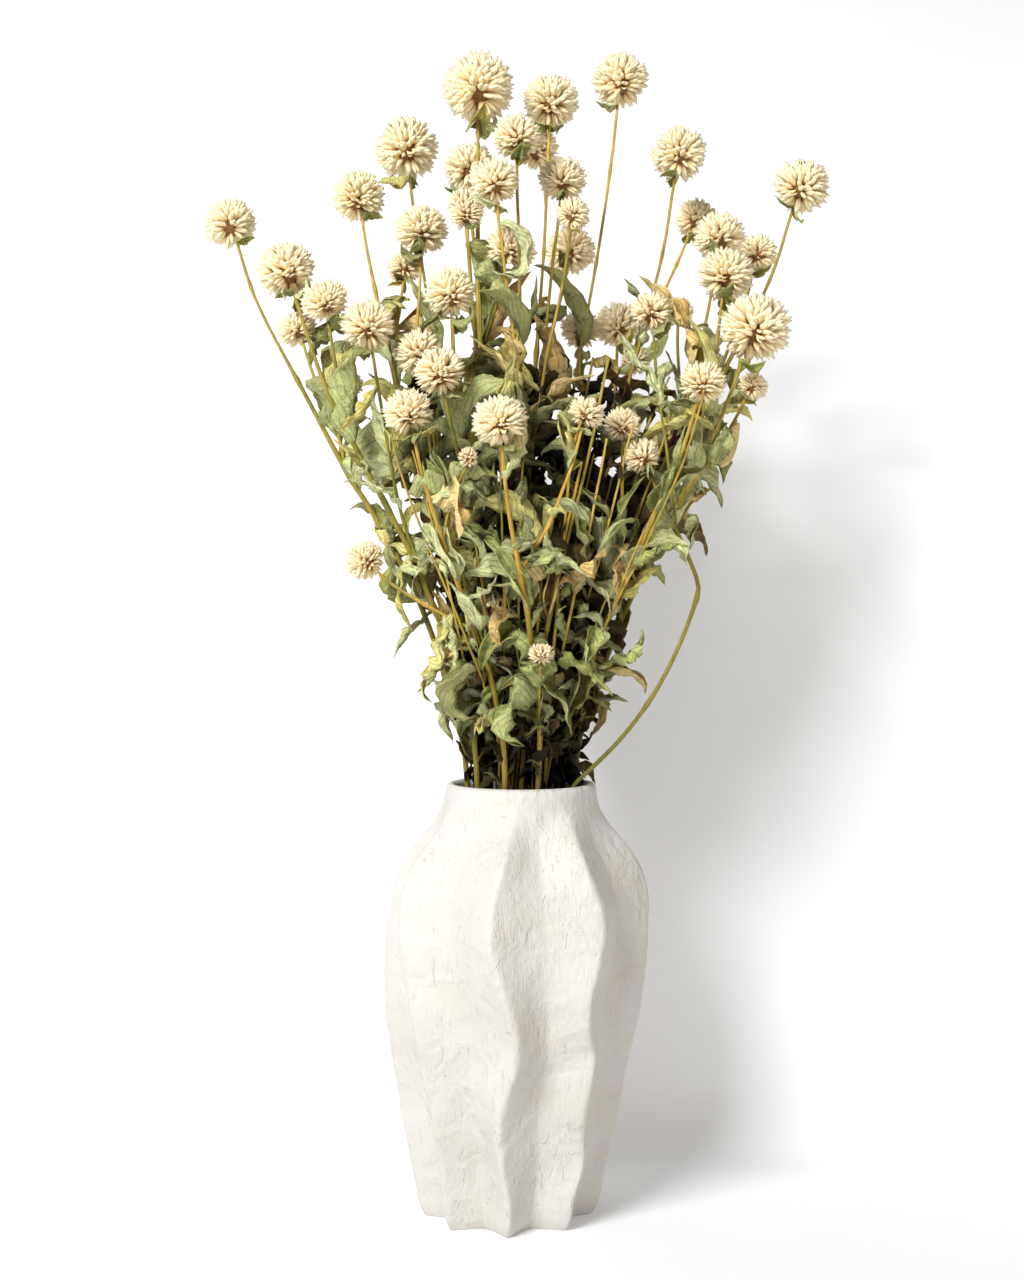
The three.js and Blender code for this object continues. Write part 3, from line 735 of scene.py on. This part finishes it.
def addThicket(piece, run, rng):
    line, at = evenly(run, 4 * mm)
    for kind in ("outer", "deep"):
        look = thicket[kind]
        spot = rng.uniform(0, look["every"])
        while spot < at[-1] - 12 * mm:
            k = int(np.searchsorted(at, spot))
            z = line[k, 2] - mouthTop
            spot += look["every"] * rng.uniform(0.6, 1.4)
            if not look["from"] < z < look["to"] or k < 2:
                continue
            stemWay = unit(line[k] - line[k - 2])
            turn = rng.uniform(0, 2 * math.pi)
            out = unit(np.cross(stemWay, [math.cos(turn), math.sin(turn), 0.1]))
            way = unit(out + stemWay * (rng.uniform(0.1, 1.9) if rng.random() < 0.75 else rng.uniform(-1.6, 0)))
            length = rng.uniform(*look["length"])
            tip = line[k] + way * length
            reach = math.hypot(tip[0] - bunch["middle"], tip[1]) / halfWidth(tip[2])
            if reach > look["reach"] or tip[2] < mouthTop + 4 * mm:
                continue
            if hidesHead(tip) or hidesHead((tip + line[k]) / 2):
                continue
            tone = leafTone(rng, kind)
            if tone > leafTones["purple"] and length > leafTones["purpleLength"]:
                tone = leafTones["olive"]
            addLeaf(piece, line[k], tip, stemWay, length * rng.uniform(*look["width"]), rng,
                    rng.uniform(0.4, 1.0), tone, 1.05)


# the small green leaves right under a flower

collar = {"length": (0.38, 0.62), "width": (0.26, 0.42), "most": 4}  # shares of the flower's width


def addCollar(piece, tip, axis, wide, rng):
    for _ in range(rng.integers(1, collar["most"] + 1)):
        turn = rng.uniform(0, 2 * math.pi)
        side = unit(np.cross(axis, [math.cos(turn), math.sin(turn), 0.2]))
        length = wide * rng.uniform(*collar["length"])
        out = unit(side + axis * rng.uniform(-0.3, 0.45))
        tone = float(rng.choice([0.04, 0.25, 0.42, 0.58], p=[0.35, 0.1, 0.4, 0.15]))
        broad = wide * rng.uniform(*collar["width"])
        addLeaf(piece, tip, tip + out * length, -axis, broad, rng, 0.35, tone, 1.0)


# thinner leafy shoots between the frame's stems, which fill the mouth and the bunch above it

fillers = {
    "number": 52,
    "foot": -30 * mm,  # from the mouth's height
    "top": (90 * mm, 210 * mm),
    "front": 0.8,  # of the bunch's half width, where every third one stands
    "share": (0.06, 0.94),  # of the way from one stem to another
    "radius": (0.6 * mm, 0.95 * mm),
}


def addFillers(pieces):
    look, rng = fillers, np.random.default_rng(7)
    trunks = [plants[node]["runs"][0] for node in stemNodes if node != bowed["node"]]
    for number in range(look["number"]):
        first, second = rng.choice(len(trunks), 2, replace=False)
        stalk, leaves = pieces[number % len(pieces)]
        levels = np.arange(mouthTop + look["foot"], mouthTop + rng.uniform(*look["top"]), 5 * mm)
        share = rng.uniform(*look["share"])
        lines = [np.stack([np.interp(levels, trunks[k][:, 2], trunks[k][:, i]) for i in range(3)], 1)
                 for k in (first, second)]
        line = lines[0] * (1 - share) + lines[1] * share
        rise = np.clip((levels - mouthTop) / (150 * mm), 0, 1)[:, None]
        line = line + rise * np.array([rng.uniform(-14, 14), rng.uniform(-10, 10), 0]) * mm
        atFront = number % 3 == 0
        if atFront:
            front = [-look["front"] * halfWidth(z) for z in levels]
            line[:, 1] += np.clip(2 * rise[:, 0], 0, 1) * (front - line[:, 1])
        radii = rng.uniform(*look["radius"]) * np.linspace(1.1, 0.7, len(line))
        points, faces = sweep(line, radii, 7, 0.93)
        stalk.add(points, faces, growOf(points[:, 2] / cadHigh[2], 0, rng.uniform(0, 1)))
        if atFront or number % 2:
            addThicket(leaves, line, rng)


def makePlants():
    pieces = []
    for number, (node, plant) in enumerate(plants.items()):
        rng = np.random.default_rng(100 + number)
        runs = plant["runs"]
        stalk, leaves = Piece(), Piece()
        forkHeight = max([run[0, 2] for run in runs[1:]] + [mouthTop + 60 * mm])
        tone = rng.uniform(0, 1)
        for order, run in enumerate(runs):
            shade = float(np.clip(tone + rng.uniform(-0.2, 0.2), 0, 1))
            if node == bowed["node"]:
                line = run if order else bowOut(run)
                addStemRun(stalk, line, order == 0, forkHeight, rng, bowed["tone"], bowed["thinner"])
            else:
                addStemRun(stalk, run, order == 0, forkHeight, rng, shade)
                addThicket(leaves, run, rng)
        for base, tip, middle, across in plant["blades"]:
            face = unit(np.cross(tip - base, across))
            width = max(np.linalg.norm(across), 9 * mm)
            addLeaf(leaves, base, tip, face if face[2] > 0 else -face, width, rng, rng.uniform(0.4, 1.0))
        for flower, run in zip(plant["flowers"], runs):
            low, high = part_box(flower)
            axis = unit(np.array((low + high) / 2) - run[-1])
            addCollar(leaves, run[-1], axis, (high - low).x, rng)
        pieces.append((stalk, leaves))
    addFillers(pieces)
    for node, (stalk, leaves) in zip(plants, pieces):
        label = node.split("_")[1]
        for piece, name, skin in ((stalk, "stem" + label, driedStem), (leaves, "leaves" + label, driedLeaf)):
            made = piece.make(name, skin)
            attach(made, "root")
            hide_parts(node)


makePlants()
print("stems and leaves made")


# flower heads: papery bracts set on a core in a spiral, by geometry nodes

headLook = {
    "bracts": 300,  # on a typical head
    "typical": 12.5 * mm,  # its radius
    "core": 0.5,  # radius, as a share of the head's
    "bractWidth": 0.19,
    "sweep": 0.32,  # how far the bracts lie over towards the top
    "jitter": 0.2,
    "baseCover": 0.98,  # how far down the globe they stand
    "nodBack": 0.4,  # radians that a head tips back from its stem's line
}


def bractMesh(sides=6, rows=4):  # one pointed boat-shaped bract, 1 long, 1 wide, along Z from the origin
    s = np.linspace(0, 1, rows + 2)[1:-1] ** 1.05
    half = 0.5 * np.sin(math.pi * s**0.8) ** 0.75
    angles = np.linspace(0, 2 * math.pi, sides, endpoint=False)
    rings = []
    for z, w in zip(s, half):
        x = w * np.cos(angles)
        y = 0.26 * w * np.sin(angles) + 1.1 * w * (np.abs(np.cos(angles)) ** 1.5) - 0.35 * w + 0.5 * z**2
        rings.append(np.stack([x, y, np.full(sides, z)], 1))
    ends = np.array([[0, 0, 0], [0, 0.55, 1.06]])
    points = np.vstack(rings + [ends])
    faces = gridFaces(rows, sides, closed=True).tolist()
    faces += [(rows * sides, (k + 1) % sides, k) for k in range(sides)]
    last = (rows - 1) * sides
    faces += [(rows * sides + 1, last + k, last + (k + 1) % sides) for k in range(sides)]
    piece = Piece()
    along = np.concatenate([np.repeat(s, sides), [0, 1]])
    across = np.concatenate([np.tile((np.cos(angles) + 1) / 2, rows), [0.5, 0.5]])
    piece.add(points, faces, growOf(along, across, 0.5))
    return piece.make("bract", bractSkin)


class Tree(Nodes):  # a geometry node tree
    def __init__(self, name, inputs):
        self.tree = bpy.data.node_groups.new(name, "GeometryNodeTree")
        self.tree.interface.new_socket("Geometry", in_out="INPUT", socket_type="NodeSocketGeometry")
        self.tree.interface.new_socket("Geometry", in_out="OUTPUT", socket_type="NodeSocketGeometry")
        self.keys = {}
        for label, kind in inputs.items():
            socket = self.tree.interface.new_socket(label, in_out="INPUT", socket_type="NodeSocket" + kind)
            self.keys[label] = socket.identifier
        self.input = self.tree.nodes.new("NodeGroupInput")

    def vector(self, kind, a, b=(0, 0, 0)):
        key = "Scale" if kind == "SCALE" else 1
        return self.node("ShaderNodeVectorMath", {0: a, key: b}, operation=kind).outputs[0]

    def draw(self, low, high, seed):  # one number for each bract
        values = {2: low, 3: high, "Seed": seed}
        return self.node("FunctionNodeRandomValue", values, data_type="FLOAT").outputs[1]

    def combine(self, x, y, z):
        return self.node("ShaderNodeCombineXYZ", {0: x, 1: y, 2: z}).outputs[0]

    def finish(self, geometry):
        out = self.tree.nodes.new("NodeGroupOutput")
        self.tree.links.new(geometry, out.inputs[0])


def headTree():
    t = Tree("flowerHead", {"Squash": "Float", "Bracts": "Int", "Length": "Float", "Width": "Float",
                            "Sweep": "Float", "Cover": "Float", "Jitter": "Float", "Core": "Float",
                            "Seed": "Int"})
    put = t.input.outputs
    line = t.node("GeometryNodeMeshLine", {"Count": put["Bracts"], "Offset": (0, 0, 0)})
    index = t.node("GeometryNodeInputIndex").outputs[0]
    share = t.math("DIVIDE", t.plus(index, 0.5), put["Bracts"])
    height = t.minus(1.0, t.times(share, t.plus(1.0, put["Cover"])))
    ring = t.math("SQRT", t.minus(1.0, t.times(height, height)))
    turn = t.times(index, math.pi * (3 - math.sqrt(5)))
    east, north = t.math("COSINE", turn), t.math("SINE", turn)
    out = t.combine(t.times(ring, east), t.times(ring, north), height)
    toTop = t.combine(t.times(t.times(height, east), -1.0), t.times(t.times(height, north), -1.0), ring)
    wobble = t.node("FunctionNodeRandomValue", {"Min": (-1, -1, -1), "Max": (1, 1, 1), "Seed": put["Seed"]},
                    data_type="FLOAT_VECTOR").outputs[0]
    out = t.vector("NORMALIZE", t.vector("ADD", out, t.vector("SCALE", wobble, t.times(put["Jitter"], 0.6))))
    squashed = t.vector("MULTIPLY", out, t.combine(1.0, 1.0, put["Squash"]))
    placed = t.node("GeometryNodeSetPosition", {"Geometry": line.outputs[0],
                                                "Position": t.vector("SCALE", squashed, put["Core"])})
    lean = t.vector("ADD", squashed, t.vector("SCALE", toTop, put["Sweep"]))
    lean = t.vector("ADD", lean, t.vector("SCALE", wobble, put["Jitter"]))
    point = t.node("FunctionNodeAlignRotationToVector", {"Vector": lean}, axis="Z").outputs[0]
    face = t.node("FunctionNodeAlignRotationToVector", {"Rotation": point, "Vector": toTop}, axis="Y",
                  pivot_axis="Z").outputs[0]
    size = t.draw(0.84, 1.12, put["Seed"])
    wide = t.times(put["Width"], size)
    scale = t.combine(wide, wide, t.times(put["Length"], size))
    spread = t.node("GeometryNodeInstanceOnPoints", {"Points": placed.outputs[0], "Instance": put["Geometry"],
                                                     "Rotation": face, "Scale": scale})
    tone = t.draw(0.0, 1.0, put["Seed"])
    toned = t.node("GeometryNodeStoreNamedAttribute", {"Geometry": spread.outputs[0], "Name": "bractTone",
                                                       "Value": tone}, data_type="FLOAT", domain="INSTANCE")
    real = t.node("GeometryNodeRealizeInstances", {"Geometry": toned.outputs[0]})
    skin = t.node("GeometryNodeSetMaterial", {"Geometry": real.outputs[0], "Material": bractSkin})
    ball = t.node("GeometryNodeMeshUVSphere", {"Segments": 14, "Rings": 9, "Radius": put["Core"]})
    ball = t.node("GeometryNodeTransform", {"Geometry": ball.outputs[0],
                                            "Scale": t.combine(1.12, 1.12, t.times(put["Squash"], 1.1))})
    ball = t.node("GeometryNodeSetMaterial", {"Geometry": ball.outputs[0], "Material": coreSkin})
    both = t.node("GeometryNodeJoinGeometry")
    t.tree.links.new(ball.outputs[0], both.inputs[0])
    t.tree.links.new(skin.outputs[0], both.inputs[0])
    t.finish(both.outputs[0])
    return t


def makeHead(name, tree, bract, centre, axis, wide, tall, seed, openness=1.0):
    look = headLook
    head = bpy.data.objects.new(name, bract.data.copy())
    addToScene(head)
    radius = wide / 2
    grid = head.modifiers.new("bracts", "NODES")
    grid.node_group = tree.tree
    count = int(look["bracts"] * np.clip((radius / look["typical"]) ** 0.9, 0.45, 1.5))
    sweep = look["sweep"] * openness
    stretch = 1.0 / math.hypot(1.0, sweep) if sweep else 1.0
    core = radius * look["core"]
    values = {"Squash": float(np.clip(tall / wide, 0.6, 1.1)), "Bracts": count,
              "Length": (radius - core) * 1.06 / stretch, "Width": look["bractWidth"] * radius * 1.15,
              "Sweep": sweep, "Cover": look["baseCover"], "Jitter": look["jitter"], "Core": core, "Seed": seed}
    for label, value in values.items():
        grid[tree.keys[label]] = value
    bpy.context.view_layer.update()
    evaluated = head.evaluated_get(bpy.context.evaluated_depsgraph_get())
    mesh = bpy.data.meshes.new_from_object(evaluated)
    head.modifiers.clear()
    head.data = mesh
    turned = Vector(axis).to_track_quat("Z", "Y").to_matrix().to_4x4()
    mesh.transform(Matrix.Translation(Vector(centre)) @ turned)
    mesh.shade_smooth()
    return head


# small heads on thin stalks of their own, each beside a flower of the frame

buds = [
    {"beside": "flower_08", "shift": (-14, 10, -15), "wide": 9, "tall": 10},
    {"beside": "flower_38", "shift": (-6, 16, -20), "wide": 21, "tall": 20},
    {"beside": "flower_30", "shift": (-13, 22, -10), "wide": 16, "tall": 15},
    {"beside": "flower_36", "shift": (8, -14, -19), "wide": 15, "tall": 14},
    {"beside": "flower_11", "shift": (-24, 10, -30), "wide": 10, "tall": 10},
    {"beside": "flower_02", "shift": (24, 18, -24), "wide": 12, "tall": 11},
]


def addBud(number, bud, tree, bract, stalks):
    rng = np.random.default_rng(900 + number)
    low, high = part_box(bud["beside"])
    centre = np.array((low + high) / 2) + np.array(bud["shift"]) * mm
    wide, tall = bud["wide"] * mm, bud["tall"] * mm
    lines = np.vstack([run for plant in plants.values() for run in plant["runs"]])
    below = lines[(lines[:, 2] < centre[2] - 35 * mm) & (lines[:, 2] > centre[2] - 75 * mm)]
    start = below[np.argmin(np.linalg.norm(below - centre, axis=1))]
    axis = unit(unit(centre - start) + up)
    end = centre - axis * tall * 0.4
    s = np.linspace(0, 1, 14)[:, None]
    knee = (start + end) / 2 + (end - start) * np.array([-0.25, -0.25, 0.1])
    line = start * (1 - s) ** 2 + 2 * knee * s * (1 - s) + end * s**2
    points, faces = sweep(line, np.linspace(0.75, 0.55, 14) * mm, 8)
    stalks.add(points, faces, growOf(points[:, 2] / cadHigh[2], 0, rng.uniform(0, 1)))
    nod = unit(axis + np.array([rng.uniform(-0.3, 0.3), 0.35, 0]))
    head = makeHead(f"bud{number}", tree, bract, centre, nod, wide, tall, 60 + number, 0.8)
    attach(head, "root")


def makeHeads():
    tree, bract = headTree(), bractMesh()
    stalks = Piece()
    for number, bud in enumerate(buds):
        addBud(number, bud, tree, bract, stalks)
    made = stalks.make("budStalks", driedStem)
    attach(made, "root")
    for plant in plants.values():
        for flower, run in zip(plant["flowers"], plant["runs"]):
            number = int(flower.split("_")[1])
            rng = np.random.default_rng(500 + number)
            points = cornersOf(flower)[0]
            low, high = points.min(0), points.max(0)
            centre = (low + high) / 2
            axis = unit(centre - run[-1])
            reach = (points - centre) @ axis
            tall = np.ptp(reach) - 2 * mm
            wide = 2 * np.linalg.norm(points - centre - np.outer(reach, axis), axis=1).max()
            nod = headLook["nodBack"] * rng.uniform(0.2, 1.5)
            axis = unit(axis + np.array([rng.uniform(-0.3, 0.3), math.tan(nod), rng.uniform(-0.1, 0.1)]))
            head = makeHead("bloom" + flower.split("_")[1], tree, bract, centre, axis, wide, tall, number,
                            rng.uniform(0.75, 1.15))
            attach(head, "root")
            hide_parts(flower)
    bpy.data.objects.remove(bract)


makeHeads()
print("flower heads made")


# the studio

studio = {
    "cameraAway": 0.945,
    "cameraHeight": 0.303,
    "cameraSide": 0.0019,
    "lookDown": 1.6,  # degrees
    "lens": 55.3,
    "keyPlace": (-1.1, -1.7, 1.6),
    "keySize": 1.0,
    "keyPower": 82,
    "fillPlace": (1.3, -1.5, 0.6),
    "fillSize": 1.0,
    "fillPower": 7.5,
    "sky": 0.22,
    "paperGlow": 0.17,  # of the wall; the floor glows less
    "wallBehind": 0.11,
    "sweepRadius": 0.035,
    "leanFrom": 0.3,  # above this the wall leans back
}


def makeStage():
    look = studio
    radius, back = look["sweepRadius"], look["wallBehind"]
    bend = np.linspace(0, math.pi / 2, 13)
    side = [(-3.0, 0.0)] + [(back - radius + radius * math.sin(a), radius - radius * math.cos(a)) for a in bend]
    side += [(back + away, look["leanFrom"] + rise) for away, rise in ((0, 0), (0.02, 0.05), (1.6, 1.4))]
    points = [(x, y, z) for x in (-3.0, 3.0) for y, z in side]
    count = len(side)
    faces = [(k, k + count, k + count + 1, k + 1) for k in range(count - 1)]
    mesh = bpy.data.meshes.new("backdrop")
    mesh.from_pydata(points, [], faces)
    mesh.shade_smooth()
    s = Shader("backdropPaper", 0.9, Emission_Color=(1, 1, 1, 1))
    paper = [(0.3, (0.70, 0.70, 0.705)), (0.7, (0.72, 0.72, 0.725))]
    s.set("Base Color", s.ramp(s.noise(s.place(), 6, 2.0), paper))
    height = s.node("ShaderNodeSeparateXYZ", {0: s.place()}).outputs[2]
    s.set("Emission Strength", s.ramp(s.times(height, 8.0), [(0.0, 0.13), (1.0, look["paperGlow"])]))
    back = s.node("ShaderNodeNewGeometry").outputs["Backfacing"]  # the paper hides nothing from behind
    clear = s.node("ShaderNodeBsdfTransparent").outputs[0]
    both = s.node("ShaderNodeMixShader", {0: back, 1: s.surface.outputs[0], 2: clear})
    s.tree.links.new(both.outputs[0], s.tree.nodes["Material Output"].inputs["Surface"])
    mesh.materials.append(s.material)
    backdrop = bpy.data.objects.new("backdrop", mesh)
    addToScene(backdrop)


def makeLight(name, place, target, size, power, colour):
    light = bpy.data.lights.new(name, "AREA")
    light.shape, light.size, light.energy, light.color = "DISK", size, power, colour
    lamp = bpy.data.objects.new(name, light)
    lamp.location = place
    lamp.rotation_euler = (Vector(target) - Vector(place)).to_track_quat("-Z", "Y").to_euler()
    addToScene(lamp)


def makeStudio():
    look = studio
    makeStage()
    makeLight("key", look["keyPlace"], (0, 0, 0.26), look["keySize"], look["keyPower"], (0.97, 0.985, 1.0))
    makeLight("fill", look["fillPlace"], (0, 0, 0.26), look["fillSize"], look["fillPower"], (1.0, 0.9, 0.76))
    world = bpy.data.worlds.new("studio")
    world.use_nodes = True
    sky = world.node_tree.nodes["Background"].inputs
    sky["Color"].default_value, sky["Strength"].default_value = (1, 1, 1, 1), look["sky"]
    bpy.context.scene.world = world
    camera = bpy.data.cameras.new("camera")
    camera.lens, camera.sensor_width, camera.clip_end = look["lens"], 36, 20
    holder = bpy.data.objects.new("camera", camera)
    holder.location = (look["cameraSide"], -look["cameraAway"], look["cameraHeight"])
    holder.rotation_euler = (math.radians(90 - look["lookDown"]), 0, 0)
    addToScene(holder)
    bpy.context.scene.camera = holder
    bpy.context.scene.view_settings.view_transform = "Standard"


makeStudio()
print("studio made")
